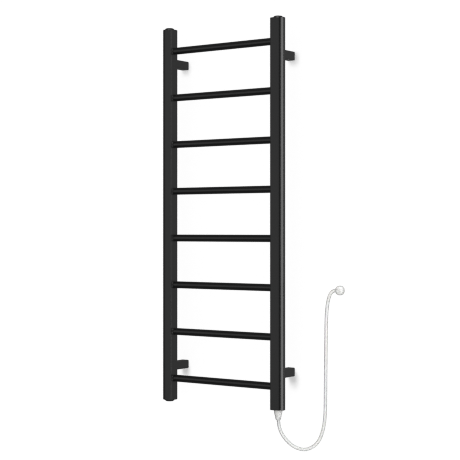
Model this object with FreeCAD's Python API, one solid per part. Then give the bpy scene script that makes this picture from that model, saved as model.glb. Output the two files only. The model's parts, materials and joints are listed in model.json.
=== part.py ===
"""Wall-mounted electric towel warmer rack, 438 x 1136 mm, with eight bars and a mains lead.

Frame: origin at the centre of the four wall fixing holes, in the plane of the wall.
+X is right as seen from the front, the front faces -Y, +Z is up. Millimetres.
"""
import math
import os

import FreeCAD
import Part

V = FreeCAD.Vector

# ---- driving dimensions -------------------------------------------------------------------
POST_LENGTH = 1136.0
POST_WIDTH = 38.0          # across the wall, flat inner side to the crown of the round side
POST_DEPTH = 32.0          # off the wall; the round side is a half circle of this diameter
POST_WALL = 1.5
POST_CORNER = 1.6          # outer corner radius beside the flat inner side
LEAST_CORNER = 0.5         # radius of that corner where the section is drawn in
CLEAR_WIDTH = 362.0        # between the flat inner sides of the two posts
BAR_COUNT = 8
BAR_DIAMETER = 20.0
BAR_WALL = 1.2
BAR_TO_POST_END = 66.5     # first and last bar axis to the post's end
BAR_INSERTION = 2.5        # how far a bar's end enters its post
WALL_GAP = 60.0            # wall to the back of the posts
SOCKET_OFFSET = 17.5       # flat inner side of a post to the axis of its screw plugs

PLATE_THICKNESS = 3.0      # end plates of the posts
COLLAR_WALL = 2.5          # threaded collar under an end plate
COLLAR_DEPTH = 6.0
THREAD_RADIUS = 10.5       # half-inch pipe thread of the plugs and of the heater head
THREAD_PLAY = 0.1
PLUG_HEAD_RADIUS = 14.5
PLUG_HEAD_HEIGHT = 4.5
PLUG_HEAD_CHAMFER = 3.5
PLUG_SHANK = 9.0
PLUG_SHANK_CHAMFER = 1.0
PLUG_KEY = 10.0            # across the flats of the hexagon key hole
SEAL_INNER = 10.9
SEAL_OUTER = 12.5
SEAL_HEIGHT = 1.5

CHAMBER_HEIGHT = 48.0      # dry wiring chamber, post end to the underside of the bulkhead
BULKHEAD_THICKNESS = 6.0
HEATER_HEX = 22.0
HEATER_HEX_HEIGHT = 8.0
HEATER_SHANK = 11.0        # thread above the hexagon, through the bulkhead and beyond
HEATER_SEAL_OUTER = 10.9
HEATER_SEAL_HEIGHT = 1.2
HEATER_SHEATH_RADIUS = 6.25
HEATER_SHEATH_WALL = 0.8
HEATER_LENGTH = 460.0      # sheath above the bulkhead
HEATER_COLD_END = 12.0     # sealed length at the foot of the sheath, with no winding
WINDING_RADIUS = 3.6
WINDING_THICKNESS = 0.5
PIN_RADIUS = 0.8
PIN_OFFSET = 3.0
PIN_STANDOUT = 10.0

SPLICE_RADIUS = 2.2
SPLICE_LENGTH = 13.0
SPLICE_SET_BACK = 4.0      # heater head to the crimped tubes on its pins
CUTOUT_RADIUS = 2.0
CUTOUT_LENGTH = 9.0
CUTOUT_LEAD = 5.0          # wire that stands out of the cutout, into its crimped tube
CUTOUT_GAP = 1.0
WIRE_RADIUS = 1.0
EARTH_SCREW_RADIUS = 1.5
EARTH_SCREW_LENGTH = 5.0
EARTH_HEAD_RADIUS = 2.75
EARTH_HEAD_HEIGHT = 2.0
EARTH_KEY = 2.0
EARTH_KEY_DEPTH = 1.2
EARTH_ACROSS = 5.2         # flat inner side of the post to the earth screw
EARTH_BACK = 10.8          # post's middle to the earth screw
EARTH_TAG_THICKNESS = 0.8
EARTH_EYE_RADIUS = 3.0
EARTH_TAIL_WIDTH = 2.4
EARTH_TAIL_LENGTH = 6.0

BRACKET_SPACING_X = 390.0
BRACKET_SPACING_Z = 930.0
SLEEVE_SIZE = 24.0
SLEEVE_WALL = 1.5
SLEEVE_CORNER = 1.5
BLOCK_PLAY = 0.2           # between a sleeve and the block inside it
BLOCK_CORNER = 0.5
WALL_BLOCK_LENGTH = 24.0
WALL_BLOCK_WEB = 6.0
WALL_HOLE_RADIUS = 2.75
WALL_HEAD_RADIUS = 5.5     # room for the wall screw's head
POST_BLOCK_LENGTH = 20.0
STUD_RADIUS = 4.0
STUD_LENGTH = 29.0
NUT_ACROSS = 13.0
NUT_HEIGHT = 6.5
GRUB_RADIUS = 2.5
GRUB_HOLE_DEPTH = 8.0
GRUB_LENGTH = 6.0
GRUB_KEY = 2.5
GRUB_KEY_DEPTH = 2.5
GRUB_TO_WALL = 14.0
GRUB_TO_POST = 10.0

BOOT_TOP_RADIUS = 11.5
BOOT_TIP_RADIUS = 6.4
BOOT_LENGTH = 29.0
BOOT_COLLAR = 6.0          # straight part next to the post
BOOT_TOP_CHAMFER = 0.6
BOOT_TIP_CHAMFER = 1.0
BOOT_NECK_RADIUS = 7.9
BOOT_NUT_ACROSS = 20.0
BOOT_NUT_HEIGHT = 4.0
CORD_RADIUS = 4.0
CORD_START_BELOW = 11.0    # the jacket ends this far below the post, inside the boot

PLUG_X = 366.0
PLUG_Z = -220.5
OUTLET_FACE = -6.0         # an outlet's face stands this far off the wall
MAINS_PLUG_RADIUS = 12.7
MAINS_PLUG_WALL = 6.0
MAINS_PLUG_DEPTH = 13.0
LEAD_TO_BACK = 6.5         # lead's axis to the plug's back face
LEAD_TO_CENTRE = 5.0       # end of the lead's jacket to the plug's centre
INSERT_RADIUS = 10.8       # stiff plate in the plug's back that holds the blades
INSERT_DEPTH = 2.0
BLADE_ROOT = 1.4           # how far the blades reach into that plate
BLADE_SPACING = 12.7
BLADE_WIDTH = 6.35
BLADE_THICKNESS = 1.5
BLADE_LENGTH = 17.0
BLADE_CHAMFER = 0.5
BLADE_RISE = 3.6           # blades above the centre of the plug
EARTH_DROP = 11.9          # earth pin below the blades
EARTH_RADIUS = 2.4
EARTH_LENGTH = 19.0

OVERCUT = 1.0              # how far a cutting shape runs past what it cuts
ARC_SHARE = 0.45           # part of the shorter run beside a bend that its arc may take

# ---- worked out from them -----------------------------------------------------------------
TOP = POST_LENGTH / 2
HALF_DEPTH = POST_DEPTH / 2
INNER_X = CLEAR_WIDTH / 2
POST_Y = -(WALL_GAP + HALF_DEPTH)
SOCKET_X = INNER_X + SOCKET_OFFSET
BAR_PITCH = (POST_LENGTH - 2 * BAR_TO_POST_END) / (BAR_COUNT - 1)
BULKHEAD_Z = -TOP + CHAMBER_HEIGHT
HEAD_Z = BULKHEAD_Z - HEATER_HEX_HEIGHT
SHEATH_BORE = HEATER_SHEATH_RADIUS - HEATER_SHEATH_WALL
SPLICE_FOOT = HEAD_Z - SPLICE_SET_BACK - SPLICE_LENGTH
CUTOUT_TOP = SPLICE_FOOT - CUTOUT_GAP
CUTOUT_FOOT = CUTOUT_TOP - CUTOUT_LENGTH
UP = V(0, 0, 1)
TO_WALL = V(0, 1, 0)
SIDES = {"left": -1, "right": 1}
ENDS = {"top": 1, "bottom": -1}

# The lead's route: down out of the right post, round its loop beside the wall and up to the plug.
CORD_Y = OUTLET_FACE - LEAD_TO_BACK
CORD_START = V(SOCKET_X, POST_Y, -TOP - CORD_START_BELOW)
CORD_ROUTE = [
    CORD_START,
    V(SOCKET_X, POST_Y, -613),
    V(211, -70.9, -644.5),
    V(236, -60.6, -671.5),
    V(264, -49.1, -682.3),
    V(286, -40.1, -677),
    V(304.5, -32.5, -661.5),
    V(317, -27.4, -636),
    V(325.6, -23.9, -591),
    V(326.4, -23.5, -520),
    V(327, -23.3, -436),
    V(327.7, -23, -362),
    V(328.4, -22.7, -300),
    V(331, -21.4, -263),
    V(335, -19, -240.5),
    V(340, -16, -227),
    V(348.5, CORD_Y, PLUG_Z),
    V(PLUG_X - LEAD_TO_CENTRE, CORD_Y, PLUG_Z),
]


# ---- plain shapes -------------------------------------------------------------------------
def cylinder(radius, start, direction, length):
    return Part.makeCylinder(radius, length, start, direction)


def ring(outer, inner, start, direction, length):
    return cylinder(outer, start, direction, length).cut(cylinder(inner, start, direction, length))


def block(low, high):
    size = high - low
    return Part.makeBox(size.x, size.y, size.z, low)


def prism(sides, across, start, direction, length):
    """A regular prism of the given width across its flats, standing on start."""
    turn = FreeCAD.Rotation(UP, direction)
    radius = across / 2 / math.cos(math.pi / sides)
    corners = []
    for i in range(sides + 1):
        angle = 2 * math.pi * i / sides
        corners.append(start + turn.multVec(V(radius * math.cos(angle), radius * math.sin(angle), 0)))
    return Part.Face(Part.makePolygon(corners)).extrude(direction * length)


def turned(outline, axis_point, direction=UP):
    """A solid of revolution from an outline of (radius, height) points about a line through axis_point."""
    corners = [V(radius, 0, height) for radius, height in outline]
    face = Part.Face(Part.makePolygon(corners + [corners[0]]))
    solid = face.revolve(V(0, 0, 0), UP, 360)
    solid.Placement = FreeCAD.Placement(axis_point, FreeCAD.Rotation(UP, direction))
    return solid


def rounded_path(points):
    """Straight runs joined by the largest even tangent arcs, and the list of arc radii."""
    edges, radii = [], []
    last = points[0]
    for before, corner, after in zip(points, points[1:], points[2:]):
        run_in, run_out = corner - before, after - corner
        turn = run_in.getAngle(run_out)
        cut = ARC_SHARE * min(run_in.Length, run_out.Length)
        radii.append(cut / math.tan(turn / 2))
        way_in, way_out = run_in.normalize(), run_out.normalize()
        start, end = corner - way_in * cut, corner + way_out * cut
        to_centre = (way_out - way_in).normalize()
        depth = radii[-1] * (1 / math.cos(turn / 2) - 1)
        edges.append(Part.LineSegment(last, start).toShape())
        edges.append(Part.Arc(start, corner + to_centre * depth, end).toShape())
        last = end
    edges.append(Part.LineSegment(last, points[-1]).toShape())
    return Part.Wire(edges), radii


def round_lead(points, radius):
    """A solid lead of round section along a path of runs and arcs."""
    path, radii = rounded_path(points)
    section = Part.Wire(Part.makeCircle(radius, points[0], points[1] - points[0]))
    solid = path.makePipeShell([section], True, False)
    return solid, path.Length, radii


# ---- posts, bars and end plates -----------------------------------------------------------
def post_outline(side, inset, z):
    """The D-shaped section of a post, drawn in by inset, as a face at height z."""
    half = HALF_DEPTH - inset
    corner = max(POST_CORNER - inset, LEAST_CORNER)
    flat_end = POST_WIDTH - HALF_DEPTH
    nick = corner * (1 - math.sqrt(0.5))

    def at(across, depth):
        return V(side * (INNER_X + across), POST_Y + depth, z)

    edges = [
        Part.LineSegment(at(inset, corner - half), at(inset, half - corner)),
        Part.Arc(at(inset, half - corner), at(inset + nick, half - nick), at(inset + corner, half)),
        Part.LineSegment(at(inset + corner, half), at(flat_end, half)),
        Part.Arc(at(flat_end, half), at(flat_end + half, 0), at(flat_end, -half)),
        Part.LineSegment(at(flat_end, -half), at(inset + corner, -half)),
        Part.Arc(at(inset + corner, -half), at(inset + nick, nick - half), at(inset, corner - half)),
    ]
    return Part.Face(Part.Wire([edge.toShape() for edge in edges]))


def bar_heights():
    return [TOP - BAR_TO_POST_END - i * BAR_PITCH for i in range(BAR_COUNT)]


def post(side):
    length = V(0, 0, POST_LENGTH)
    tube = post_outline(side, 0, -TOP).extrude(length)
    tube = tube.cut(post_outline(side, POST_WALL, -TOP).extrude(length))
    for z in bar_heights():
        mouth = V(side * (INNER_X - OVERCUT), POST_Y, z)
        tube = tube.cut(cylinder(BAR_DIAMETER / 2, mouth, V(side, 0, 0), POST_WALL + 2 * OVERCUT))
    return tube


def bar(z):
    reach = INNER_X + BAR_INSERTION
    start = V(-reach, POST_Y, z)
    return ring(BAR_DIAMETER / 2, BAR_DIAMETER / 2 - BAR_WALL, start, V(1, 0, 0), 2 * reach)


def end_plate(side, end, hole_radius, collar):
    """A plate let in flush with the post's end, with a threaded collar on its inside."""
    low = end * TOP - (PLATE_THICKNESS if end > 0 else 0)
    plate = post_outline(side, POST_WALL, low).extrude(V(0, 0, PLATE_THICKNESS))
    axis = V(side * SOCKET_X, POST_Y, end * TOP)
    inward = V(0, 0, -end)
    if collar:
        plate = plate.fuse(cylinder(hole_radius + COLLAR_WALL, axis, inward, PLATE_THICKNESS + collar))
    return plate.cut(cylinder(hole_radius, axis, inward, PLATE_THICKNESS + collar))


def screw_plug(side, end):
    """Blanking plug with a chamfered round head, a hexagon key hole and a groove for its seal."""
    axis = V(side * SOCKET_X, POST_Y, end * TOP)
    outward = V(0, 0, end)
    shank = THREAD_RADIUS - THREAD_PLAY
    body = turned([
        (0, -PLUG_SHANK),
        (shank - PLUG_SHANK_CHAMFER, -PLUG_SHANK),
        (shank, PLUG_SHANK_CHAMFER - PLUG_SHANK),
        (shank, 0),
        (PLUG_HEAD_RADIUS, 0),
        (PLUG_HEAD_RADIUS, PLUG_HEAD_HEIGHT - PLUG_HEAD_CHAMFER),
        (PLUG_HEAD_RADIUS - PLUG_HEAD_CHAMFER, PLUG_HEAD_HEIGHT),
        (0, PLUG_HEAD_HEIGHT),
    ], axis, outward)
    body = body.cut(prism(6, PLUG_KEY, axis, outward, PLUG_HEAD_HEIGHT + OVERCUT))
    return body.cut(plug_seal(side, end))


def plug_seal(side, end):
    axis = V(side * SOCKET_X, POST_Y, end * TOP)
    return ring(SEAL_OUTER, SEAL_INNER, axis, V(0, 0, end), SEAL_HEIGHT)


# ---- heater in the right post -------------------------------------------------------------
def heater_axis(z):
    return V(SOCKET_X, POST_Y, z)


def bulkhead():
    plate = post_outline(1, POST_WALL, BULKHEAD_Z).extrude(V(0, 0, BULKHEAD_THICKNESS))
    plate = plate.cut(cylinder(THREAD_RADIUS, heater_axis(BULKHEAD_Z), UP, BULKHEAD_THICKNESS))
    return plate.cut(cylinder(EARTH_SCREW_RADIUS, earth_point(BULKHEAD_Z), UP, BULKHEAD_THICKNESS))


def heater_head():
    hexagon = prism(6, HEATER_HEX, heater_axis(HEAD_Z), UP, HEATER_HEX_HEIGHT)
    shank = cylinder(THREAD_RADIUS - THREAD_PLAY, heater_axis(BULKHEAD_Z), UP, HEATER_SHANK)
    head = hexagon.fuse(shank)
    reach = HEATER_HEX_HEIGHT + HEATER_SHANK
    head = head.cut(cylinder(HEATER_SHEATH_RADIUS, heater_axis(HEAD_Z), UP, reach))
    return head.cut(heater_seal())


def heater_seal():
    foot = heater_axis(BULKHEAD_Z - HEATER_SEAL_HEIGHT)
    return ring(HEATER_SEAL_OUTER, THREAD_RADIUS - THREAD_PLAY, foot, UP, HEATER_SEAL_HEIGHT)


def heater_sheath():
    top = BULKHEAD_Z + HEATER_LENGTH
    outer = cylinder(HEATER_SHEATH_RADIUS, heater_axis(HEAD_Z), UP, top - HEAD_Z)
    outer = outer.fuse(Part.makeSphere(HEATER_SHEATH_RADIUS, heater_axis(top)))
    return outer.cut(cylinder(SHEATH_BORE, heater_axis(HEAD_Z), UP, top - HEAD_Z))


def heater_filling():
    """The heater's inside, from the middle out: core, winding and pressed insulation."""
    foot = heater_axis(HEAD_Z + HEATER_COLD_END)
    length = BULKHEAD_Z + HEATER_LENGTH - foot.z
    core_radius = WINDING_RADIUS - WINDING_THICKNESS
    return {
        "heater_core": cylinder(core_radius, foot, UP, length),
        "heater_winding": ring(WINDING_RADIUS, core_radius, foot, UP, length),
        "heater_insulation": ring(SHEATH_BORE, WINDING_RADIUS, foot, UP, length),
    }


def pin_point(sign, z):
    return V(SOCKET_X + sign * PIN_OFFSET, POST_Y, z)


def heater_end_seal():
    seal = cylinder(SHEATH_BORE, heater_axis(HEAD_Z), UP, HEATER_COLD_END)
    for sign in (-1, 1):
        seal = seal.cut(cylinder(PIN_RADIUS, pin_point(sign, HEAD_Z), UP, HEATER_COLD_END))
    return seal


def heater_pins():
    length = HEATER_COLD_END + PIN_STANDOUT
    low = HEAD_Z - PIN_STANDOUT
    return Part.makeCompound([cylinder(PIN_RADIUS, pin_point(s, low), UP, length) for s in (-1, 1)])


# ---- wiring in the foot of the right post -------------------------------------------------
def earth_point(z):
    return V(INNER_X + EARTH_ACROSS, POST_Y + EARTH_BACK, z)


def splice(sign):
    """Crimped tube that joins a heater pin to what comes up from the lead."""
    return ring(SPLICE_RADIUS, PIN_RADIUS, pin_point(sign, SPLICE_FOOT), UP, SPLICE_LENGTH)


def thermal_cutout():
    body = cylinder(CUTOUT_RADIUS, pin_point(-1, CUTOUT_FOOT), UP, CUTOUT_LENGTH)
    return body.fuse(cylinder(PIN_RADIUS, pin_point(-1, CUTOUT_TOP), UP, CUTOUT_LEAD))


def inner_wires():
    """The lead's three wires, from the end of its jacket up through the boot to what they feed."""
    jacket_end = CORD_START.z
    spread, backward = 1.8, 0.8
    bend_foot, live_head, neutral_head = CUTOUT_FOOT - 12, CUTOUT_FOOT - 6, CUTOUT_FOOT - 4
    neutral_grip = 4.0
    live, _, _ = round_lead([
        V(SOCKET_X - spread, POST_Y - backward, jacket_end),
        V(SOCKET_X - spread, POST_Y - backward, bend_foot),
        pin_point(-1, live_head),
        pin_point(-1, CUTOUT_FOOT),
    ], WIRE_RADIUS)
    neutral, _, _ = round_lead([
        V(SOCKET_X + spread, POST_Y - backward, jacket_end),
        V(SOCKET_X + spread, POST_Y - backward, bend_foot),
        pin_point(1, neutral_head),
        pin_point(1, SPLICE_FOOT + neutral_grip),
    ], PIN_RADIUS)
    crimp_to_screw, sweep, sweep_out, rise = 4.6, 24, V(-2, -1, 0), 12
    tag = earth_point(BULKHEAD_Z - EARTH_TAG_THICKNESS) - V(0, crimp_to_screw, 0)
    earth, _, _ = round_lead([
        V(SOCKET_X, POST_Y + spread, jacket_end),
        V(SOCKET_X, POST_Y + spread, CUTOUT_FOOT - 3),
        tag - sweep_out - V(0, 0, sweep),
        tag - V(0, 0, rise),
        tag,
    ], WIRE_RADIUS)
    return {"wire_live": live, "wire_neutral": neutral, "wire_earth": earth}


def earth_tag():
    low = BULKHEAD_Z - EARTH_TAG_THICKNESS
    eye = cylinder(EARTH_EYE_RADIUS, earth_point(low), UP, EARTH_TAG_THICKNESS)
    half = EARTH_TAIL_WIDTH / 2
    foot = earth_point(low)
    strip = block(foot + V(-half, -EARTH_TAIL_LENGTH, 0), foot + V(half, 0, EARTH_TAG_THICKNESS))
    return eye.fuse(strip).cut(cylinder(EARTH_SCREW_RADIUS, earth_point(low), UP, EARTH_TAG_THICKNESS))


def earth_screw():
    head_top = BULKHEAD_Z - EARTH_TAG_THICKNESS
    head_foot = earth_point(head_top - EARTH_HEAD_HEIGHT)
    head = cylinder(EARTH_HEAD_RADIUS, head_foot, UP, EARTH_HEAD_HEIGHT)
    screw = head.fuse(cylinder(EARTH_SCREW_RADIUS, earth_point(head_top), UP, EARTH_SCREW_LENGTH))
    return screw.cut(prism(6, EARTH_KEY, head_foot, UP, EARTH_KEY_DEPTH))


# ---- lead and plug ------------------------------------------------------------------------
def cord_boot():
    """Tapered boot below the post, with a threaded neck through the end plate."""
    neck = PLATE_THICKNESS + BOOT_NUT_HEIGHT
    return turned([
        (CORD_RADIUS, neck),
        (BOOT_NECK_RADIUS, neck),
        (BOOT_NECK_RADIUS, 0),
        (BOOT_TOP_RADIUS - BOOT_TOP_CHAMFER, 0),
        (BOOT_TOP_RADIUS, -BOOT_TOP_CHAMFER),
        (BOOT_TOP_RADIUS, -BOOT_COLLAR),
        (BOOT_TIP_RADIUS, BOOT_TIP_CHAMFER - BOOT_LENGTH),
        (BOOT_TIP_RADIUS - BOOT_TIP_CHAMFER, -BOOT_LENGTH),
        (CORD_RADIUS, -BOOT_LENGTH),
    ], heater_axis(-TOP))


def boot_nut():
    foot = heater_axis(-TOP + PLATE_THICKNESS)
    nut = prism(6, BOOT_NUT_ACROSS, foot, UP, BOOT_NUT_HEIGHT)
    return nut.cut(cylinder(BOOT_NECK_RADIUS, foot, UP, BOOT_NUT_HEIGHT))


def power_cord():
    solid, length, radii = round_lead(CORD_ROUTE, CORD_RADIUS)
    expected = math.pi * CORD_RADIUS ** 2 * length
    print("lead length %.0f mm, volume %.4f of section x length" % (length, solid.Volume / expected))
    print("lead arc radii", [round(radius) for radius in radii])
    return solid


def plug_point(across, depth, up):
    """A point given from the centre of the plug's back face; depth is out from the wall."""
    return V(PLUG_X + across, OUTLET_FACE - depth, PLUG_Z + up)


def mains_plug_body():
    dome = MAINS_PLUG_DEPTH - MAINS_PLUG_WALL
    shoulder = MAINS_PLUG_RADIUS - dome * (1 - math.sqrt(0.5))
    half = V(MAINS_PLUG_RADIUS, 0, MAINS_PLUG_WALL)
    bulge = MAINS_PLUG_WALL + dome * math.sqrt(0.5)
    crown = MAINS_PLUG_RADIUS - dome
    edges = [
        Part.LineSegment(V(0, 0, 0), V(MAINS_PLUG_RADIUS, 0, 0)),
        Part.LineSegment(V(MAINS_PLUG_RADIUS, 0, 0), half),
        Part.Arc(half, V(shoulder, 0, bulge), V(crown, 0, MAINS_PLUG_DEPTH)),
        Part.LineSegment(V(crown, 0, MAINS_PLUG_DEPTH), V(0, 0, MAINS_PLUG_DEPTH)),
        Part.LineSegment(V(0, 0, MAINS_PLUG_DEPTH), V(0, 0, 0)),
    ]
    outline = Part.Face(Part.Wire([edge.toShape() for edge in edges]))
    body = outline.revolve(V(0, 0, 0), UP, 360)
    body.Placement = FreeCAD.Placement(plug_point(0, 0, 0), FreeCAD.Rotation(UP, V(0, -1, 0)))
    entry = plug_point(CORD_ROUTE[-1].x - PLUG_X, OUTLET_FACE - CORD_Y, 0)
    body = body.cut(cylinder(CORD_RADIUS, entry, V(-1, 0, 0), MAINS_PLUG_RADIUS))
    return body.cut(mains_plug_insert_blank())


def mains_plug_insert_blank():
    return cylinder(INSERT_RADIUS, plug_point(0, 0, 0), V(0, -1, 0), INSERT_DEPTH)


def blade(sign):
    low = plug_point(sign * BLADE_SPACING / 2 - BLADE_THICKNESS / 2, BLADE_ROOT, BLADE_RISE - BLADE_WIDTH / 2)
    high = low + V(BLADE_THICKNESS, BLADE_ROOT + BLADE_LENGTH, BLADE_WIDTH)
    flat = block(low, high)
    tips = [edge for edge in flat.Edges if all(v.Point.y > high.y - 0.01 for v in edge.Vertexes)]
    return flat.makeChamfer(BLADE_CHAMFER, [edge for edge in tips if edge.Length > 2 * BLADE_THICKNESS])


def earth_pin():
    start = plug_point(0, BLADE_ROOT, BLADE_RISE - EARTH_DROP)
    length = BLADE_ROOT + EARTH_LENGTH - EARTH_RADIUS
    tip = Part.makeSphere(EARTH_RADIUS, start + TO_WALL * length)
    return cylinder(EARTH_RADIUS, start, TO_WALL, length).fuse(tip)


def mains_plug_insert():
    plate = mains_plug_insert_blank()
    for pin in (blade(-1), blade(1), earth_pin()):
        plate = plate.cut(pin)
    return plate


# ---- brackets -----------------------------------------------------------------------------
def bracket_axis(side, end, y):
    return V(side * BRACKET_SPACING_X / 2, y, end * BRACKET_SPACING_Z / 2)


def square_bar(centre, size, length, corner):
    half = V(size / 2, 0, size / 2)
    solid = block(centre - half, centre + half + V(0, length, 0))
    long_edges = [e for e in solid.Edges if abs(e.tangentAt(e.FirstParameter).y) > 0.99]
    return solid.makeFillet(corner, long_edges)


def sleeve(side, end):
    start = bracket_axis(side, end, -WALL_GAP)
    outer = square_bar(start, SLEEVE_SIZE, WALL_GAP, SLEEVE_CORNER)
    inner = block(start - V(1, 0, 1) * (SLEEVE_SIZE / 2 - SLEEVE_WALL),
                  start + V(1, 0, 1) * (SLEEVE_SIZE / 2 - SLEEVE_WALL) + V(0, WALL_GAP, 0))
    shell = outer.cut(inner)
    for y in grub_places():
        below = bracket_axis(side, end, y) - UP * SLEEVE_SIZE
        shell = shell.cut(cylinder(GRUB_RADIUS, below, UP, SLEEVE_SIZE))
    return shell


def grub_places():
    return (-GRUB_TO_WALL, GRUB_TO_POST - WALL_GAP)


def block_size():
    return SLEEVE_SIZE - 2 * SLEEVE_WALL - 2 * BLOCK_PLAY


def wall_block(side, end):
    foot = bracket_axis(side, end, -WALL_BLOCK_LENGTH)
    solid = square_bar(foot, block_size(), WALL_BLOCK_LENGTH, BLOCK_CORNER)
    solid = solid.cut(cylinder(WALL_HOLE_RADIUS, foot, TO_WALL, WALL_BLOCK_LENGTH))
    solid = solid.cut(cylinder(WALL_HEAD_RADIUS, foot, TO_WALL, WALL_BLOCK_LENGTH - WALL_BLOCK_WEB))
    return solid.cut(grub_hole(side, end, grub_places()[0]))


def post_block(side, end):
    foot = bracket_axis(side, end, -WALL_GAP)
    solid = square_bar(foot, block_size(), POST_BLOCK_LENGTH, BLOCK_CORNER)
    solid = solid.cut(cylinder(STUD_RADIUS, foot, TO_WALL, POST_BLOCK_LENGTH))
    return solid.cut(grub_hole(side, end, grub_places()[1]))


def grub_hole(side, end, y):
    low = bracket_axis(side, end, y) - UP * (SLEEVE_SIZE / 2)
    return cylinder(GRUB_RADIUS, low, UP, GRUB_HOLE_DEPTH)


def grub_screw(side, end, y):
    low = bracket_axis(side, end, y) - UP * (SLEEVE_SIZE / 2)
    return cylinder(GRUB_RADIUS, low, UP, GRUB_LENGTH).cut(prism(6, GRUB_KEY, low, UP, GRUB_KEY_DEPTH))


def stud(side, end):
    return cylinder(STUD_RADIUS, bracket_axis(side, end, -WALL_GAP), TO_WALL, STUD_LENGTH)


def stud_nut(side, end):
    foot = bracket_axis(side, end, POST_BLOCK_LENGTH - WALL_GAP)
    nut = prism(6, NUT_ACROSS, foot, TO_WALL, NUT_HEIGHT)
    return nut.cut(cylinder(STUD_RADIUS, foot, TO_WALL, NUT_HEIGHT))


# ---- the whole rack -----------------------------------------------------------------------
def rack():
    nodes = {}
    for side_name, side in SIDES.items():
        nodes["post_" + side_name] = post(side)
    for number, z in enumerate(bar_heights(), start=1):
        nodes["bar_%d" % number] = bar(z)

    plugged = [("left", "top"), ("right", "top"), ("left", "bottom")]
    for side_name, end_name in plugged:
        side, end = SIDES[side_name], ENDS[end_name]
        place = "_%s_%s" % (side_name, end_name)
        nodes["end_plate" + place] = end_plate(side, end, THREAD_RADIUS, COLLAR_DEPTH)
        nodes["screw_plug" + place] = screw_plug(side, end)
    nodes["end_plate_right_bottom"] = end_plate(1, -1, BOOT_NECK_RADIUS, 0)
    nodes["plug_seals"] = Part.makeCompound([plug_seal(SIDES[s], ENDS[e]) for s, e in plugged])

    nodes["heater_bulkhead"] = bulkhead()
    nodes["heater_head"] = heater_head()
    nodes["heater_seal"] = heater_seal()
    nodes["heater_sheath"] = heater_sheath()
    nodes.update(heater_filling())
    nodes["heater_end_seal"] = heater_end_seal()
    nodes["heater_pins"] = heater_pins()

    nodes["splice_live"] = splice(-1)
    nodes["splice_neutral"] = splice(1)
    nodes["thermal_cutout"] = thermal_cutout()
    nodes.update(inner_wires())
    nodes["earth_tag"] = earth_tag()
    nodes["earth_screw"] = earth_screw()

    nodes["cord_boot"] = cord_boot()
    nodes["boot_nut"] = boot_nut()
    nodes["power_cord"] = power_cord()
    nodes["mains_plug_body"] = mains_plug_body()
    nodes["mains_plug_insert"] = mains_plug_insert()
    nodes["blade_live"] = blade(-1)
    nodes["blade_neutral"] = blade(1)
    nodes["earth_pin"] = earth_pin()

    corners = [(s, e) for s in SIDES for e in ENDS]
    for side_name, end_name in corners:
        side, end = SIDES[side_name], ENDS[end_name]
        place = "_%s_%s" % (side_name, end_name)
        nodes["sleeve" + place] = sleeve(side, end)
        nodes["wall_block" + place] = wall_block(side, end)
        nodes["post_block" + place] = post_block(side, end)
    at = [(SIDES[s], ENDS[e]) for s, e in corners]
    nodes["bracket_studs"] = Part.makeCompound([stud(*where) for where in at])
    nodes["stud_nuts"] = Part.makeCompound([stud_nut(*where) for where in at])
    nodes["grub_screws"] = Part.makeCompound([grub_screw(*where, y) for where in at for y in grub_places()])
    return nodes


def main():
    os.makedirs("parts", exist_ok=True)
    for name, shape in rack().items():
        if not shape.isValid():
            raise ValueError(name + " is not a valid shape")
        shape.exportStep("parts/%s.step" % name)
        print(name, len(shape.Solids), "solids", round(shape.Volume), "mm3")


main()
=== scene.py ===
"""The look of a wall-mounted electric towel warmer rack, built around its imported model.

Metres. The origin is at the centre of the four wall fixings, in the wall's plane; +X is right
as seen from the front, the front faces -Y and +Z is up.
"""
import json
import math

import bmesh
import bpy
from bpy.props import FloatProperty, FloatVectorProperty, PointerProperty
from mathutils import Matrix, Vector

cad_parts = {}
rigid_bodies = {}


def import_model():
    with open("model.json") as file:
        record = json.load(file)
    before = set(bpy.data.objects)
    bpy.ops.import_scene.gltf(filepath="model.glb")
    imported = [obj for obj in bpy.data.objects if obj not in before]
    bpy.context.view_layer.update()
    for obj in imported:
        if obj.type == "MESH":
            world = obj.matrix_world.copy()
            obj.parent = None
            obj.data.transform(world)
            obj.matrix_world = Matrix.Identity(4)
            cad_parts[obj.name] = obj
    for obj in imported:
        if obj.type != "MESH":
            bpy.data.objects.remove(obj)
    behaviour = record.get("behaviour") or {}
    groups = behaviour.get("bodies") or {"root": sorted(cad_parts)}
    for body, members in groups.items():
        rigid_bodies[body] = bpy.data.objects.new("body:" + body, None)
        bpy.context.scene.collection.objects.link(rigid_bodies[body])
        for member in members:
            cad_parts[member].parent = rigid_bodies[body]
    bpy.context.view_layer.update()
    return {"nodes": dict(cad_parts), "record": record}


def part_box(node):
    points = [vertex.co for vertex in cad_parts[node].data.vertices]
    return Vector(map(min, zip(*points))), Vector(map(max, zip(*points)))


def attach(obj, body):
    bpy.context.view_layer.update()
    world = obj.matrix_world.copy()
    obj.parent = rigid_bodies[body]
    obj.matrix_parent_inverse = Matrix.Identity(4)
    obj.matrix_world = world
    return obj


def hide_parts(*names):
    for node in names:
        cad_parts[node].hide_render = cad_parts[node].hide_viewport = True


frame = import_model()

bl_info = {
    "name": "Towel Warmer Rack",
    "version": (1, 0, 0),
    "blender": (4, 5, 0),
    "location": "3D View > Sidebar > Towel Warmer",
    "description": "Builds a powder-coated towel warmer rack with its lead and plug",
    "category": "Object",
}

MILLIMETRE = 0.001
ORIGIN = (0, 0, 0)
RIGHT = Vector((1, 0, 0))
FRONT = Vector((0, -1, 0))
UP = Vector((0, 0, 1))
QUARTER_TURN = Matrix.Rotation(math.pi / 2, 3, "X")
SIDES = {"left": -1, "right": 1}
ENDS = {"top": 1, "bottom": -1}

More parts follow.
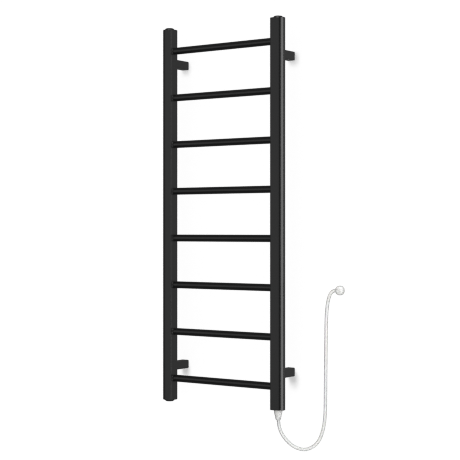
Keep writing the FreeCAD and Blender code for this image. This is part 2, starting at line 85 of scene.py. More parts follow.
# Posts and bars
POST_LOW, POST_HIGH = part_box("post_right")
INNER_X = POST_LOW.x
POST_Y = (POST_LOW.y + POST_HIGH.y) / 2
POST_DEPTH = POST_HIGH.y - POST_LOW.y
POST_WIDTH = POST_HIGH.x - POST_LOW.x
TOP = POST_HIGH.z
POST_WALL = 1.5 * MILLIMETRE
POST_CORNER = 1.6 * MILLIMETRE
BAR_WALL = 1.2 * MILLIMETRE
BAR_NAMES = sorted(name for name in frame["nodes"] if name.startswith("bar_"))
WELD_HOLLOW = 0.96
EDGE = 0.3 * MILLIMETRE

# Screw plugs: radii, and heights outwards from the post's end
PLUGGED = [("left", "top"), ("right", "top"), ("left", "bottom")]
PLUG_SHANK = 10.4 * MILLIMETRE
SHANK_ROUNDING = 1.0 * MILLIMETRE
SEAL_OUTER = 12.5 * MILLIMETRE
SEAL_HEIGHT = 1.5 * MILLIMETRE
HEAD_SIDE_ROUNDING = 1.5 * MILLIMETRE
HEAD_TOP_ROUNDING = 1.0 * MILLIMETRE
KEY_MOUTH = 0.5 * MILLIMETRE
KEY_SIDE = math.tau / 6

# Bracket sleeves
CORNERS = [(side, end) for side in SIDES for end in ENDS]
SLEEVE_WALL = 1.5 * MILLIMETRE
GRUB_BORE = 2.5 * MILLIMETRE
GRUBS_FROM_WALL = (14 * MILLIMETRE, 50 * MILLIMETRE)

# Boot: the height of its collar, then radii of the part inside the post and of the thin end
BOOT_COLLAR = 6.0 * MILLIMETRE
BOOT_NECK = 7.9 * MILLIMETRE
BOOT_TIP = 6.4 * MILLIMETRE
BOOT_TOP_ROUNDING = 0.6 * MILLIMETRE
BOOT_TIP_ROUNDING = 1.2 * MILLIMETRE

# The lead's route: down out of the right post, round its loop beside the wall, up to the plug.
LEAD_ROUTE = [
    (0.1985, -0.0760, -0.5790),
    (0.1985, -0.0760, -0.6130),
    (0.2110, -0.0709, -0.6445),
    (0.2360, -0.0606, -0.6715),
    (0.2640, -0.0491, -0.6823),
    (0.2860, -0.0401, -0.6770),
    (0.3045, -0.0325, -0.6615),
    (0.3170, -0.0274, -0.6360),
    (0.3256, -0.0239, -0.5910),
    (0.3264, -0.0235, -0.5200),
    (0.3270, -0.0233, -0.4360),
    (0.3277, -0.0230, -0.3620),
    (0.3284, -0.0227, -0.3000),
    (0.3310, -0.0214, -0.2630),
    (0.3350, -0.0190, -0.2405),
    (0.3400, -0.0160, -0.2270),
    (0.3485, -0.0125, -0.2205),
    (0.3610, -0.0125, -0.2205),
]

# How finely shapes are cut: steps round a turned piece or a hole, and cuts across a rounding
BAR_STEPS = 48
SCREW_PLUG_STEPS = 48
BOOT_STEPS = 56
MAINS_PLUG_STEPS = 72
HOLE_STEPS = 24
POST_CORNER_CUTS = 16
DOME_CUTS = 10
FINE_CUTS = 5
SCREW_PLUG_CUTS = 4
POST_RIM_CUTS = 3
SLEEVE_RIM_CUTS = 2

# Closer than this is the same place, level or on the axis; a fold sharper than this is an edge
SAME_PLACE = 0.001 * MILLIMETRE
SAME_CORNER = 0.01 * MILLIMETRE
SAME_LEVEL = 1e-6
ON_AXIS = 1e-7
RIM_FOLD = 0.5
CREASE = math.radians(35)
HEAD_CREASE = math.radians(25)

# Stage
CAMERA_PLACE = (2.17821, -3.15352, -0.04705)
CAMERA_FRAME_WIDTH = 36.0
CAMERA_REACH = 50.0
WALL_HALF = 1.5
FLOOR_LEVEL = -1.25
FLOOR_RADIUS = 2.4
FLOOR_STEPS = 96
LOWER_FILL_PART = 0.45
SHADOW_CASTERS = "wall_shadows"

# Each lamp's bearing from straight in front, round to the right, and its height, both in
# degrees; its distance; and its width and height.
LAMPS = {
    "key_lamp": (-16, 3, 3.2, (5.2, 2.9)),
    "strip_lamp": (90, 0, 2.2, (2.1, 3.0)),
    "upper_fill": (12, 60, 3.0, (2.0, 2.0)),
    "lower_fill": (25, -55, 3.0, (2.0, 2.0)),
    "back_lamp": (152, 8, 3.2, (2.2, 3.4)),
    "soft_lamp": (80, 0, 2.2, (2.4, 3.0)),
    "wall_lamp": (-6, 17, 3.0, (1.0, 1.4)),
    "wall_wash": (0, 0, 3.0, (1.0, 1.2)),
}
RACK_LAMPS = ["key_lamp", "strip_lamp", "upper_fill", "lower_fill", "back_lamp"]
WALL_LAMPS = ["wall_lamp", "wall_wash"]


# ---- values that a user would change ------------------------------------------------------
class TowelWarmerShape(bpy.types.PropertyGroup):
    """Fine shapes that are worked onto the model's plain ones."""

    weld_fillet: FloatProperty(
        name="Weld fillet", description="Radius of the weld where a bar meets its post",
        default=1.3 * MILLIMETRE, min=0.0, unit="LENGTH")
    rim_rounding: FloatProperty(
        name="Post rim", description="Rounding of the posts' cut ends",
        default=0.6 * MILLIMETRE, min=0.0, unit="LENGTH")
    head_slope: FloatProperty(
        name="Screw plug head", description="Width of the slope round the screw plugs' heads",
        default=3.5 * MILLIMETRE, min=0.0, unit="LENGTH")
    sleeve_corner: FloatProperty(
        name="Sleeve corner", description="Outer radius of the brackets' long corners",
        default=1.5 * MILLIMETRE, min=0.0, unit="LENGTH")
    boot_rounding: FloatProperty(
        name="Boot", description="Rounding where the boot's collar meets its taper",
        default=2.5 * MILLIMETRE, min=0.0, unit="LENGTH")
    dome: FloatProperty(
        name="Mains plug", description="Rounding of the mains plug's front",
        default=7.0 * MILLIMETRE, min=0.0, unit="LENGTH")
    key_width: FloatProperty(
        name="Hexagon key", description="Width across the flats of the screw plugs' key holes",
        default=10.0 * MILLIMETRE, min=0.0, unit="LENGTH")
    lead_diameter: FloatProperty(
        name="Lead", description="Diameter of the mains lead",
        default=8.0 * MILLIMETRE, min=0.0, unit="LENGTH")


class TowelWarmerFinish(bpy.types.PropertyGroup):
    """Colours and gloss."""

    coat_colour: FloatVectorProperty(
        name="Powder coat", description="Colour of the coated steel", subtype="COLOR",
        default=(0.0040, 0.0041, 0.0042), min=0.0, max=1.0)
    coat_roughness: FloatProperty(
        name="Coat roughness", description="Roughness of the coated steel, from gloss to matt",
        default=0.20, min=0.0, max=1.0, subtype="FACTOR")
    vinyl_colour: FloatVectorProperty(
        name="Lead and plug", description="Colour of the lead, its boot and the plug",
        subtype="COLOR", default=(0.80, 0.80, 0.793), min=0.0, max=1.0)
    brass_colour: FloatVectorProperty(
        name="Brass", description="Colour of the plug's blades and the heater's head",
        subtype="COLOR", default=(0.80, 0.58, 0.28), min=0.0, max=1.0)


class TowelWarmerStage(bpy.types.PropertyGroup):
    """The stage's camera and lamps."""

    camera_turn: FloatProperty(
        name="Camera turn", description="How far round to the right the camera stands",
        default=math.radians(34.94), unit="ROTATION")
    lens: FloatProperty(
        name="Lens", description="Focal length in millimetres", default=98.72, min=1.0)
    key_glow: FloatProperty(
        name="Key", description="Glow of the wide lamp in front on the left",
        default=0.45, min=0.0)
    strip_glow: FloatProperty(
        name="Strip", description="Glow of the tall lamp on the right", default=2.8, min=0.0)
    soft_glow: FloatProperty(
        name="Soft strip", description="Glow of the strip's stand-in for the white pieces",
        default=1.8, min=0.0)
    fill_glow: FloatProperty(
        name="Fill", description="Glow of the lamps above and below in front",
        default=6.0, min=0.0)
    back_glow: FloatProperty(
        name="Back", description="Glow of the lamp behind the wall", default=0.29, min=0.0)
    wall_glow: FloatProperty(
        name="Wall", description="Glow of the lamp that casts the brackets' shadows",
        default=8.0, min=0.0)
    wall_wash: FloatProperty(
        name="Wall wash", description="The wall's shadowless light, as a part of the other",
        default=1.1, min=0.0)
    surround: FloatProperty(
        name="Surround", description="Brightness of the room all around",
        default=0.1, min=0.0)
    backdrop: FloatProperty(
        name="Backdrop", description="Brightness of the white behind the rack",
        default=1.03, min=0.0)


# ---- shader helpers -----------------------------------------------------------------------
class Signal:
    """A node's output socket. Arithmetic on it adds Math nodes to the same material."""

    def __init__(self, tree, socket=None):
        self.tree = tree
        self.socket = socket

    def node(self, kind, settings=(), sockets=(), output=0):
        """Adds a node: its settings first, then the values or links of its sockets."""
        made = self.tree.nodes.new(kind)
        for name, value in dict(settings).items():
            setattr(made, name, value)
        for name, value in dict(sockets).items():
            if isinstance(value, Signal):
                self.tree.links.new(value.socket, made.inputs[name])
            else:
                made.inputs[name].default_value = value
        return Signal(self.tree, made.outputs[output])

    def maths(self, operation, left, right):
        return self.node("ShaderNodeMath", {"operation": operation}, {0: left, 1: right})

    def __add__(self, other):
        return self.maths("ADD", self, other)

    def __sub__(self, other):
        return self.maths("SUBTRACT", self, other)

    def __rsub__(self, other):
        return self.maths("SUBTRACT", other, self)

    def __mul__(self, other):
        return self.maths("MULTIPLY", self, other)

    __radd__ = __add__
    __rmul__ = __mul__

    def noise(self, per_metre, detail=2.0, rough=0.5):
        """Soft noise from 0 to 1 with about this many features to the metre."""
        sockets = {"Vector": self, "Scale": per_metre, "Detail": detail, "Roughness": rough}
        return self.node("ShaderNodeTexNoise", {}, sockets)

    def ramp(self, low, high):
        """Takes the range low to high smoothly to 0 to 1, and holds it there outside."""
        sockets = {"Value": self, "From Min": low, "From Max": high}
        return self.node("ShaderNodeMapRange", {"interpolation_type": "SMOOTHSTEP"}, sockets)

    def tint(self, dark, light):
        """A colour between two, by this value."""
        sockets = {0: self, 6: (*dark, 1.0), 7: (*light, 1.0)}
        return self.node("ShaderNodeMix", {"data_type": "RGBA"}, sockets, output=2)


class Finish:
    """A material under construction: here is the place on the object, in metres."""

    def __init__(self, name, **constants):
        self.material = bpy.data.materials.new(name)
        self.material.use_nodes = True
        tree = self.material.node_tree
        self.shader = tree.nodes["Principled BSDF"]
        for socket, value in constants.items():
            self.shader.inputs[socket.replace("_", " ")].default_value = value
        self.here = Signal(tree).node("ShaderNodeTexCoord", output="Object")

    def feed(self, socket, signal):
        self.here.tree.links.new(signal.socket, self.shader.inputs[socket])

    def roughen(self, patterns, middle):
        """Roughness about a middle value; each pattern is a signal and how much it adds."""
        roughness = middle - sum(spread for signal, spread in patterns) / 2
        for signal, spread in patterns:
            roughness = signal * spread + roughness
        self.feed("Roughness", roughness)

    def bump(self, height, depth):
        """Raises the surface by depth metres where height is 1."""
        sockets = {"Height": height, "Strength": 1.0, "Distance": depth}
        self.feed("Normal", self.here.node("ShaderNodeBump", {}, sockets))


def shade(colour, factor):
    """A colour made lighter or darker."""
    return tuple(min(1.0, part * factor) for part in colour)


# ---- finishes -----------------------------------------------------------------------------
def powder_coat(colours):
    """Satin powder coat: a shallow orange peel, a fine grain and a slightly uneven gloss."""
    peel_part = 0.8
    colour = colours.coat_colour
    finish = Finish("powder_coat", Specular_IOR_Level=0.6)
    cloud = finish.here.noise(per_metre=9.0, detail=3.0)
    peel = finish.here.noise(per_metre=650.0)
    grain = finish.here.noise(per_metre=3200.0, detail=1.0)
    patches = cloud.ramp(low=0.3, high=0.7)
    finish.feed("Base Color", patches.tint(dark=shade(colour, 0.92), light=shade(colour, 1.1)))
    finish.roughen([(cloud, 0.05), (peel, 0.05)], middle=colours.coat_roughness)
    finish.bump(peel * peel_part + grain * (1 - peel_part), depth=0.04 * MILLIMETRE)
    return finish.material


def lead_vinyl(colours):
    """White flexible vinyl: a fine moulded grain and the faintest yellowing in patches."""
    red, green, blue = colours.vinyl_colour
    yellowed = (red, green * 0.992, blue * 0.975)
    finish = Finish("lead_vinyl", Specular_IOR_Level=0.3, Subsurface_Weight=1.0,
                    Subsurface_Radius=(1.0, 1.0, 1.0), Subsurface_Scale=14 * MILLIMETRE)
    cloud = finish.here.noise(per_metre=24.0)
    grain = finish.here.noise(per_metre=1800.0)
    patches = cloud.ramp(low=0.35, high=0.65)
    finish.feed("Base Color", patches.tint(dark=yellowed, light=(red, green, blue)))
    finish.roughen([(grain, 0.12)], middle=0.56)
    finish.bump(grain, depth=0.01 * MILLIMETRE)
    return finish.material


def brushed_metal(name, colour, roughness, scratches_per_metre):
    """Bare metal: fine scratches over a mottled surface."""
    finish = Finish(name, Metallic=1.0)
    mottle = finish.here.noise(per_metre=220.0, detail=3.0)
    scratch = finish.here.noise(scratches_per_metre, detail=3.0, rough=0.7)
    patches = mottle.ramp(low=0.3, high=0.7)
    finish.feed("Base Color", patches.tint(dark=shade(colour, 0.86), light=colour))
    finish.roughen([(scratch, 0.2), (mottle, 0.08)], middle=roughness)
    finish.bump(scratch, depth=0.02 * MILLIMETRE)
    return finish.material


def wound_metal(name, colour):
    """Fine resistance wire wound turn on turn round an upright core, with painted shade in the
    grooves between the turns.
    """
    pitch = 1.4 * MILLIMETRE
    finish = Finish(name, Metallic=1.0)
    height = finish.here.node("ShaderNodeSeparateXYZ", {}, {"Vector": finish.here}, output="Z")
    sine = finish.here.maths("SINE", height * (math.tau / pitch), 0.0)
    crest = sine * 0.5 + 0.5
    # Painted shade: the base colour falls to a quarter of the wire's own in the grooves between
    # the turns.
    finish.feed("Base Color", crest.tint(dark=shade(colour, 0.25), light=colour))
    finish.roughen([(1 - crest, 0.2)], middle=0.45)
    finish.bump(crest, depth=0.3 * MILLIMETRE)
    return finish.material


def moulded(name, colour, roughness):
    """Plain moulded material: a fine grain and slight mottling."""
    mottling = 0.08
    finish = Finish(name)
    mottle = finish.here.noise(per_metre=160.0)
    grain = finish.here.noise(per_metre=1500.0)
    dark, light = shade(colour, 1 - mottling), shade(colour, 1 + mottling)
    finish.feed("Base Color", mottle.tint(dark, light))
    finish.roughen([(grain, 0.16)], middle=roughness)
    finish.bump(grain, depth=0.05 * MILLIMETRE)
    return finish.material


def inner_finishes(colours):
    """The finish of each slot that the heater, the wiring and the fixings take theirs from."""
    plain = {
        "rubber": ((0.02, 0.02, 0.021), 0.75),
        "ceramic": ((0.78, 0.75, 0.70), 0.8),
        "silicone": ((0.55, 0.16, 0.10), 0.5),
        "grey_nylon": ((0.60, 0.60, 0.59), 0.45),
        "wire_black": ((0.015, 0.015, 0.015), 0.5),
        "wire_white": ((0.75, 0.75, 0.73), 0.5),
        "wire_green": ((0.03, 0.22, 0.06), 0.5),
    }
    metal = {
        "bare_steel": ((0.56, 0.57, 0.58), 0.38, 2600.0),
        "brass": (tuple(colours.brass_colour), 0.3, 2100.0),
        "stainless": ((0.62, 0.61, 0.59), 0.28, 3000.0),
        "zinc": ((0.50, 0.52, 0.54), 0.5, 900.0),
        "tinned_copper": ((0.70, 0.67, 0.62), 0.34, 1900.0),
    }
    finishes = {slot: moulded(slot + "_finish", *look) for slot, look in plain.items()}
    finishes |= {slot: brushed_metal(slot + "_finish", *look) for slot, look in metal.items()}
    finishes["resistance_alloy"] = wound_metal("resistance_alloy_finish", (0.48, 0.45, 0.42))
    return finishes


def shared(maker, context):
    """The finish that a function makes, made once and named after it."""
    return bpy.data.materials.get(maker.__name__) or maker(context.scene.towel_warmer_finish)


def refinish(names, material):
    """Gives CAD nodes that stay a finish of their own."""
    for name in names:
        for slot in frame["nodes"][name].material_slots:
            slot.material = material


# ---- mesh helpers -------------------------------------------------------------------------
def rounded_outline(corners, roundings, cuts):
    """A flat face through the corners, each rounded by its own amount."""
    bm = bmesh.new()
    verts = [bm.verts.new((x, y, 0.0)) for x, y in corners]
    bm.faces.new(verts)
    for vert, rounding in zip(verts, roundings):
        if rounding > 0:
            bmesh.ops.bevel(bm, geom=[vert], offset=rounding, offset_type="OFFSET",
                            segments=cuts, profile=0.5, affect="VERTICES", material=-1)
    bmesh.ops.remove_doubles(bm, verts=bm.verts, dist=SAME_PLACE)
    return bm


def spun(profile, steps, cuts=FINE_CUTS):
    """A solid turned about the X axis; the profile's corners are (along, radius, rounding)."""
    corners = [(along, radius) for along, radius, rounding in profile]
    bm = rounded_outline(corners, [rounding for along, radius, rounding in profile], cuts)
    bmesh.ops.delete(bm, geom=bm.faces[:], context="FACES_ONLY")
    bmesh.ops.spin(bm, geom=bm.verts[:] + bm.edges[:], cent=ORIGIN, axis=RIGHT,
                   angle=math.tau, steps=steps, use_merge=True)
    bmesh.ops.remove_doubles(bm, verts=bm.verts, dist=SAME_PLACE)
    slivers = [face for face in bm.faces
               if all(abs(vert.co.y) + abs(vert.co.z) < ON_AXIS for vert in face.verts)]
    bmesh.ops.delete(bm, geom=slivers, context="FACES")
    bmesh.ops.recalc_face_normals(bm, faces=bm.faces)
    return bm


def place(bm, direction, origin):
    """Turns what lies along +X to the direction, and moves it to the origin."""
    turn = RIGHT.rotation_difference(direction).to_matrix()
    bmesh.ops.rotate(bm, verts=bm.verts, cent=ORIGIN, matrix=turn)
    bmesh.ops.translate(bm, verts=bm.verts, vec=origin)


def hollow_length(bm, wall, length):
    """Makes an outline face into a tube of that wall and length, upwards from its plane."""
    bmesh.ops.inset_region(bm, faces=bm.faces[:], thickness=wall, use_even_offset=True,
                           use_boundary=True)
    inner = max(bm.faces, key=lambda face: len(face.verts))
    bmesh.ops.delete(bm, geom=[inner], context="FACES_ONLY")
    bmesh.ops.remove_doubles(bm, verts=bm.verts, dist=SAME_CORNER)
    extruded = bmesh.ops.extrude_face_region(bm, geom=bm.faces[:])
    moved = [item for item in extruded["geom"] if isinstance(item, bmesh.types.BMVert)]
    bmesh.ops.translate(bm, verts=moved, vec=(0, 0, length))
    bmesh.ops.recalc_face_normals(bm, faces=bm.faces)


def soften_rims(bm, amount, cuts):
    """Rounds the edges that run round the two ends of an upright tube."""
    heights = [vert.co.z for vert in bm.verts]
    low, high = min(heights), max(heights)

    def in_rim(edge):
        first, second = edge.verts[0].co.z, edge.verts[1].co.z
        level = abs(first - second) < SAME_LEVEL
        at_end = min(abs(first - low), abs(first - high)) < SAME_LEVEL
        return level and at_end and edge.calc_face_angle() > RIM_FOLD

    rims = [edge for edge in bm.edges if in_rim(edge)]
    bmesh.ops.bevel(bm, geom=rims, offset=amount, offset_type="OFFSET", segments=cuts,
                    profile=0.5, affect="EDGES", material=-1)


def drill(bm, levels, holes, radius):
    """Drills round holes through a flat wall whose two faces lie at the given y levels."""
    rims = {along: [] for along in holes}
    for level in levels:
        faces = [face for face in bm.faces
                 if all(abs(vert.co.y - level) < SAME_LEVEL for vert in face.verts)]
        flat = max(faces, key=lambda face: face.calc_area())
        edges = flat.edges[:]
        bmesh.ops.delete(bm, geom=[flat], context="FACES_ONLY")
        for along, rim in rims.items():
            where = Matrix.Translation((0, level, along)) @ QUARTER_TURN.to_4x4()
            ring = bmesh.ops.create_circle(bm, segments=HOLE_STEPS, radius=radius, matrix=where)
            links = dict.fromkeys(edge for vert in ring["verts"] for edge in vert.link_edges)
            rim += links
            edges += links
        bmesh.ops.triangle_fill(bm, use_beauty=True, edges=edges)
    for rim in rims.values():
        bmesh.ops.bridge_loops(bm, edges=rim)
    bmesh.ops.recalc_face_normals(bm, faces=bm.faces)


def middle(node):
    low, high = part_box(node)
    return (low + high) / 2


def make_piece(name, bm, material, node, crease=CREASE):
    """Ends a piece: smooth shading, its finish, its body and the CAD node that it replaces."""
    mesh = bpy.data.meshes.new(name)
    bm.to_mesh(mesh)
    bm.free()
    mesh.shade_smooth()
    mesh.set_sharp_from_angle(angle=crease)
    mesh.materials.append(material)
    piece = bpy.data.objects.new(name, mesh)
    bpy.context.scene.collection.objects.link(piece)
    even = piece.modifiers.new("even_faces", "WEIGHTED_NORMAL")
    even.keep_sharp = True
    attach(piece, "root")
    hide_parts(node)
    return piece


# ---- stage --------------------------------------------------------------------------------
def add_camera(stage):
    camera = bpy.data.cameras.new("camera")
    camera.sensor_width = CAMERA_FRAME_WIDTH
    camera.lens = stage.lens
    camera.clip_end = CAMERA_REACH
    holder = bpy.data.objects.new("camera", camera)
    holder.location = CAMERA_PLACE
    holder.rotation_euler = (math.pi / 2, 0.0, stage.camera_turn)
    bpy.context.scene.collection.objects.link(holder)
    bpy.context.scene.camera = holder


def add_lamp(name, glow):
    """A soft rectangular lamp that faces the rack; glow is its surface brightness."""
    bearing, height, distance, size = LAMPS[name]
    lamp = bpy.data.lights.new(name, "AREA")
    lamp.shape = "RECTANGLE"
    lamp.size, lamp.size_y = size
    lamp.energy = glow * math.pi * size[0] * size[1]
    round_to, up = math.radians(bearing), math.radians(height)
    level = math.cos(up)
    towards = Vector((math.sin(round_to) * level, -math.cos(round_to) * level, math.sin(up)))
    holder = bpy.data.objects.new(name, lamp)
    holder.location = Vector((0, POST_Y, 0)) + towards * distance
    holder.rotation_euler = (-towards).to_track_quat("-Z", "Y").to_euler()
    bpy.context.scene.collection.objects.link(holder)
    return holder


def link_light(lamp, piece, state):
    """Makes a piece one of the only things that a lamp lights, or one that it doesn't light."""
    linking = lamp.light_linking
    lit = linking.receiver_collection or bpy.data.collections.new(lamp.name + "_linked")
    lit.objects.link(piece)
    lit.collection_objects[len(lit.objects) - 1].light_linking.link_state = state
    linking.receiver_collection = lit


def light_softly(piece):
    """Swaps the strip lamp for its softer stand-in on a white piece."""
    link_light(bpy.data.objects["strip_lamp"], piece, "EXCLUDE")
    link_light(bpy.data.objects["soft_lamp"], piece, "INCLUDE")


def add_surround(brightness, backdrop):
    """A white backdrop for the camera, and a dimmer even room for what lights the rack."""
    world = bpy.data.worlds.new("room")
    world.use_nodes = True
    tree = world.node_tree
    seen = Signal(tree).node("ShaderNodeLightPath", output="Is Camera Ray")
    strength = seen * (backdrop - brightness) + brightness
    background = tree.nodes["Background"]
    background.inputs["Color"].default_value = (1.0, 1.0, 1.0, 1.0)
    tree.links.new(strength.socket, background.inputs["Strength"])
    bpy.context.scene.world = world


def add_flat(name, bm, material):
    """Ends the wall or the floor, which neither shades the rack nor shows in it."""
    mesh = bpy.data.meshes.new(name)
    bm.to_mesh(mesh)
    bm.free()
    mesh.materials.append(material)
    flat = bpy.data.objects.new(name, mesh)
    bpy.context.scene.collection.objects.link(flat)
    flat.visible_diffuse = False
    flat.visible_glossy = False
    flat.visible_shadow = False
    return flat


def wall_paint():
    """Matt white paint that is clear from behind, so the wall never hides the rack's back."""
    finish = Finish("wall_paint", Base_Color=(0.85, 0.85, 0.85, 1.0), Roughness=0.9)
    tree = finish.here.tree
    painted = Signal(tree, finish.shader.outputs[0])
    behind = painted.node("ShaderNodeNewGeometry", output="Backfacing")
    clear = painted.node("ShaderNodeBsdfTransparent")
    mixed = painted.node("ShaderNodeMixShader", {}, {0: behind, 1: painted, 2: clear})
    tree.links.new(mixed.socket, tree.nodes["Material Output"].inputs["Surface"])
    return finish.material


class TOWELWARMER_OT_stage(bpy.types.Operator):
    """Set up the camera, the lamps, the wall's shadows and the floor"""

    bl_idname = "towel_warmer.stage"
    bl_label = "Stage"
    bl_options = {"REGISTER", "UNDO"}

    def execute(self, context):
        stage = context.scene.towel_warmer_stage
        context.scene.view_settings.view_transform = "Standard"
        add_camera(stage)
        add_surround(stage.surround, stage.backdrop)
        glows = {
            "key_lamp": stage.key_glow,
            "strip_lamp": stage.strip_glow,
            "upper_fill": stage.fill_glow,
            "lower_fill": stage.fill_glow * LOWER_FILL_PART,
            "back_lamp": stage.back_glow,
            "soft_lamp": stage.soft_glow,
            "wall_lamp": stage.wall_glow,
            "wall_wash": stage.wall_glow * stage.wall_wash,
        }
        lamps = {name: add_lamp(name, glow) for name, glow in glows.items()}
        casters = bpy.data.collections.new(SHADOW_CASTERS)
        lamps["wall_lamp"].light_linking.blocker_collection = casters
        lamps["wall_wash"].data.use_shadow = False

        plaster = wall_paint()
        surface = bmesh.new()
        bmesh.ops.create_grid(surface, x_segments=1, y_segments=1, size=WALL_HALF)
        bmesh.ops.rotate(surface, verts=surface.verts, cent=ORIGIN, matrix=QUARTER_TURN)
        wall = add_flat("wall", surface, plaster)
        wall.is_shadow_catcher = True
        for name in RACK_LAMPS:
            link_light(lamps[name], wall, "EXCLUDE")
        for name in WALL_LAMPS:
            link_light(lamps[name], wall, "INCLUDE")

        surface = bmesh.new()
        bmesh.ops.create_circle(surface, cap_ends=True, segments=FLOOR_STEPS,
                                radius=FLOOR_RADIUS)
        bmesh.ops.translate(surface, verts=surface.verts, vec=(0, 0, FLOOR_LEVEL))
        add_flat("floor", surface, plaster)
        return {"FINISHED"}


# ---- pieces -------------------------------------------------------------------------------
class TOWELWARMER_OT_lead(bpy.types.Operator):
    """Lay the mains lead along its route"""

    bl_idname = "towel_warmer.lead"
    bl_label = "Lead"
    bl_options = {"REGISTER", "UNDO"}

    def execute(self, context):
        curve = bpy.data.curves.new("mains_lead", "CURVE")
        curve.dimensions = "3D"
        spline = curve.splines.new("NURBS")
        spline.points.add(len(LEAD_ROUTE) - 1)
        for point, where in zip(spline.points, LEAD_ROUTE):
            point.co = (*where, 1.0)
        spline.order_u = 3
        spline.use_endpoint_u = True
        curve.resolution_u = 16
        curve.bevel_depth = context.scene.towel_warmer_shape.lead_diameter / 2
        curve.bevel_resolution = 7
        curve.use_fill_caps = True
        curve.materials.append(shared(lead_vinyl, context))
        lead = bpy.data.objects.new("mains_lead", curve)
        context.scene.collection.objects.link(lead)
        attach(lead, "root")
        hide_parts("power_cord")
        light_softly(lead)
        return {"FINISHED"}


class TOWELWARMER_OT_posts(bpy.types.Operator):
    """Make the two D-section posts"""

    bl_idname = "towel_warmer.posts"
    bl_label = "Posts"
    bl_options = {"REGISTER", "UNDO"}

    def execute(self, context):
        coat = shared(powder_coat, context)
        half = POST_DEPTH / 2
        corners = [(0, -half), (POST_WIDTH, -half), (POST_WIDTH, half), (0, half)]
        roundings = [POST_CORNER, half, half, POST_CORNER]
        for name, side in SIDES.items():
            post = rounded_outline(corners, roundings, POST_CORNER_CUTS)
            hollow_length(post, POST_WALL, 2 * TOP)
            soften_rims(post, context.scene.towel_warmer_shape.rim_rounding, POST_RIM_CUTS)
            bmesh.ops.scale(post, verts=post.verts, vec=(side, 1, 1))
            bmesh.ops.translate(post, verts=post.verts, vec=(side * INNER_X, POST_Y, -TOP))
            bmesh.ops.recalc_face_normals(post, faces=post.faces)
            make_piece("post_shell_" + name, post, coat, "post_" + name)
        refinish([node for node in frame["nodes"] if node.startswith("end_plate")], coat)
        return {"FINISHED"}


class TOWELWARMER_OT_bars(bpy.types.Operator):
    """Make the eight round bars with the welds at their ends"""

    bl_idname = "towel_warmer.bars"
    bl_label = "Bars"
    bl_options = {"REGISTER", "UNDO"}

    def execute(self, context):
        fillet = context.scene.towel_warmer_shape.weld_fillet
        coat = shared(powder_coat, context)
        for name in BAR_NAMES:
            low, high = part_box(name)
            radius = (high.z - low.z) / 2
            right_half = [
                (high.x, radius - BAR_WALL, 0),
                (high.x, radius, 0),
                (INNER_X + EDGE, radius, 0),
                (INNER_X + EDGE, radius + fillet, 0),
                (INNER_X, radius + fillet, 0),
                (INNER_X, radius, fillet * WELD_HOLLOW),
            ]
            left_half = [(-along, *rest) for along, *rest in reversed(right_half)]
            bar = spun(right_half + left_half, BAR_STEPS)
            place(bar, RIGHT, middle(name))
            make_piece(name + "_welded", bar, coat, name)
        return {"FINISHED"}


class TOWELWARMER_OT_screw_plugs(bpy.types.Operator):
    """Make the three screw plugs in the posts' ends"""

    bl_idname = "towel_warmer.screw_plugs"
    bl_label = "Screw plugs"
    bl_options = {"REGISTER", "UNDO"}

    def execute(self, context):
        shape = context.scene.towel_warmer_shape
        coat = shared(powder_coat, context)
        flat = shape.key_width / 2
        for side, end in PLUGGED:
            node = "screw_plug_%s_%s" % (side, end)
            low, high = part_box(node)
            radius = (high.x - low.x) / 2
            outer = max(abs(low.z), abs(high.z)) - TOP
            inner = TOP - min(abs(low.z), abs(high.z))
            plug = spun([
                (-inner, 0, 0),
                (-inner, PLUG_SHANK, SHANK_ROUNDING),
                (SEAL_HEIGHT, PLUG_SHANK, 0),
                (SEAL_HEIGHT, SEAL_OUTER, 0),
                (0, SEAL_OUTER, 0),
                (0, radius, EDGE),
                (outer - shape.head_slope, radius, HEAD_SIDE_ROUNDING),
                (outer, radius - shape.head_slope, HEAD_TOP_ROUNDING),
                (outer, flat + KEY_MOUTH, 0),
                (outer - KEY_MOUTH, flat, 0),
                (0, flat, 0),
                (0, 0, 0),
            ], SCREW_PLUG_STEPS, SCREW_PLUG_CUTS)
            self.make_hexagonal(plug, flat)
            place(plug, UP * ENDS[end], (*middle(node).xy, ENDS[end] * TOP))
            make_piece(node + "_turned", plug, coat, node, HEAD_CREASE)
        return {"FINISHED"}

    @staticmethod
    def make_hexagonal(plug, flat):
        """Moves the round key hole's wall and mouth out to a hexagon."""
        inside, outside = flat * 0.9, flat + 1.1 * KEY_MOUTH
        for vert in plug.verts:
            if vert.co.x > -EDGE and inside < vert.co.yz.length < outside:
                angle = math.atan2(vert.co.z, vert.co.y) % KEY_SIDE
                vert.co.yz = vert.co.yz / math.cos(angle - KEY_SIDE / 2)


class TOWELWARMER_OT_brackets(bpy.types.Operator):
    """Give the four brackets their square sleeves"""

    bl_idname = "towel_warmer.brackets"
    bl_label = "Brackets"
    bl_options = {"REGISTER", "UNDO"}

    def execute(self, context):
        coat = shared(powder_coat, context)
        for side, end in CORNERS:
            node = "sleeve_%s_%s" % (side, end)
            low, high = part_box(node)
            half = (high.x - low.x) / 2
            corners = [(-half, -half), (half, -half), (half, half), (-half, half)]
            roundings = [context.scene.towel_warmer_shape.sleeve_corner] * len(corners)
            sleeve = rounded_outline(corners, roundings, FINE_CUTS)
            hollow_length(sleeve, SLEEVE_WALL, high.y - low.y)
            soften_rims(sleeve, EDGE, SLEEVE_RIM_CUTS)
            drill(sleeve, (-half, SLEEVE_WALL - half), GRUBS_FROM_WALL, GRUB_BORE)
            bmesh.ops.rotate(sleeve, verts=sleeve.verts, cent=ORIGIN, matrix=QUARTER_TURN)
            centre = middle(node)
            bmesh.ops.translate(sleeve, verts=sleeve.verts, vec=(centre.x, high.y, centre.z))
            piece = make_piece(node + "_drilled", sleeve, coat, node)
            bpy.data.collections[SHADOW_CASTERS].objects.link(piece)
        return {"FINISHED"}


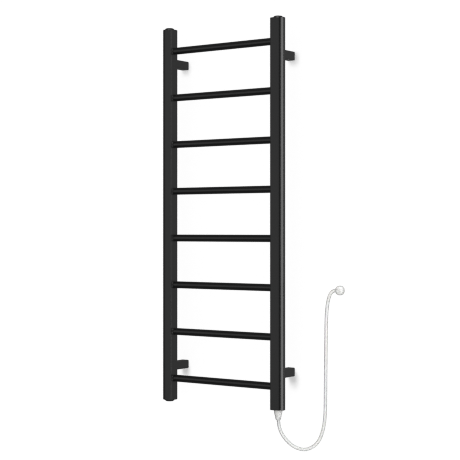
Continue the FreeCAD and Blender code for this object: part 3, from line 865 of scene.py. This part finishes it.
class TOWELWARMER_OT_boot(bpy.types.Operator):
    """Make the tapered boot under the right post"""

    bl_idname = "towel_warmer.boot"
    bl_label = "Lead boot"
    bl_options = {"REGISTER", "UNDO"}

    def execute(self, context):
        shape = context.scene.towel_warmer_shape
        low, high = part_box("cord_boot")
        top = (high.x - low.x) / 2
        length = -TOP - low.z
        neck = high.z + TOP
        bore = shape.lead_diameter / 2
        boot = spun([
            (-neck, bore, 0),
            (-neck, BOOT_NECK, 0),
            (0, BOOT_NECK, 0),
            (0, top, BOOT_TOP_ROUNDING),
            (BOOT_COLLAR, top, shape.boot_rounding),
            (length, BOOT_TIP, BOOT_TIP_ROUNDING),
            (length, bore, 0),
        ], BOOT_STEPS)
        place(boot, -UP, (*middle("cord_boot").xy, -TOP))
        vinyl = shared(lead_vinyl, context)
        light_softly(make_piece("lead_boot", boot, vinyl, "cord_boot"))
        return {"FINISHED"}


class TOWELWARMER_OT_mains_plug(bpy.types.Operator):
    bl_idname = "towel_warmer.mains_plug"
    bl_label = "Mains plug"
    bl_options = {"REGISTER", "UNDO"}

    def execute(self, context):
        shape = context.scene.towel_warmer_shape
        node = "mains_plug_body"
        low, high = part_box(node)
        radius = (high.z - low.z) / 2
        depth = high.y - low.y
        insert_low, insert_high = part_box("mains_plug_insert")
        recess = insert_high.y - insert_low.y
        seat = (insert_high.z - insert_low.z) / 2
        body = spun([
            (recess, 0, 0),
            (recess, seat, 0),
            (0, seat, 0),
            (0, radius, EDGE),
            (depth, radius, shape.dome),
            (depth, 0, 0),
        ], MAINS_PLUG_STEPS, DOME_CUTS)
        centre = middle(node)
        place(body, FRONT, (centre.x, high.y, centre.z))
        vinyl = shared(lead_vinyl, context)
        light_softly(make_piece("mains_plug_moulding", body, vinyl, node))

        return {"FINISHED"}


class TOWELWARMER_OT_inner_parts(bpy.types.Operator):
    """Finish the heater, the wiring, the plug's blades and the fixings"""

    bl_idname = "towel_warmer.inner_parts"
    bl_label = "Inner parts"
    bl_options = {"REGISTER", "UNDO"}

    def execute(self, context):
        finishes = inner_finishes(context.scene.towel_warmer_finish)
        for part in frame["record"]["subparts"]:
            if part["material_slot"] in finishes:
                refinish([part["node"]], finishes[part["material_slot"]])
        return {"FINISHED"}


class TOWELWARMER_PT_rack(bpy.types.Panel):
    """Lists what builds the rack, in order"""

    bl_idname = "TOWELWARMER_PT_rack"
    bl_label = "Towel Warmer Rack"
    bl_space_type = "VIEW_3D"
    bl_region_type = "UI"
    bl_category = "Towel Warmer"

    def draw(self, context):
        for operator in OPERATORS:
            self.layout.operator(operator.bl_idname)
        for values, group in VALUES.items():
            box = self.layout.box()
            for name in group.__annotations__:
                box.prop(getattr(context.scene, values), name)


VALUES = {
    "towel_warmer_shape": TowelWarmerShape,
    "towel_warmer_finish": TowelWarmerFinish,
    "towel_warmer_stage": TowelWarmerStage,
}
OPERATORS = [
    TOWELWARMER_OT_stage,
    TOWELWARMER_OT_lead,
    TOWELWARMER_OT_posts,
    TOWELWARMER_OT_bars,
    TOWELWARMER_OT_screw_plugs,
    TOWELWARMER_OT_brackets,
    TOWELWARMER_OT_boot,
    TOWELWARMER_OT_mains_plug,
    TOWELWARMER_OT_inner_parts,
]


def register():
    for group in VALUES.values():
        bpy.utils.register_class(group)
    for operator in OPERATORS:
        bpy.utils.register_class(operator)
    bpy.utils.register_class(TOWELWARMER_PT_rack)
    for name, group in VALUES.items():
        setattr(bpy.types.Scene, name, PointerProperty(type=group))


def unregister():
    for name in VALUES:
        delattr(bpy.types.Scene, name)
    bpy.utils.unregister_class(TOWELWARMER_PT_rack)
    for operator in reversed(OPERATORS):
        bpy.utils.unregister_class(operator)
    for group in VALUES.values():
        bpy.utils.unregister_class(group)


def main():
    register()
    for operator in OPERATORS:
        group, name = operator.bl_idname.split(".")
        getattr(getattr(bpy.ops, group), name)()


if __name__ == "__main__":
    main()
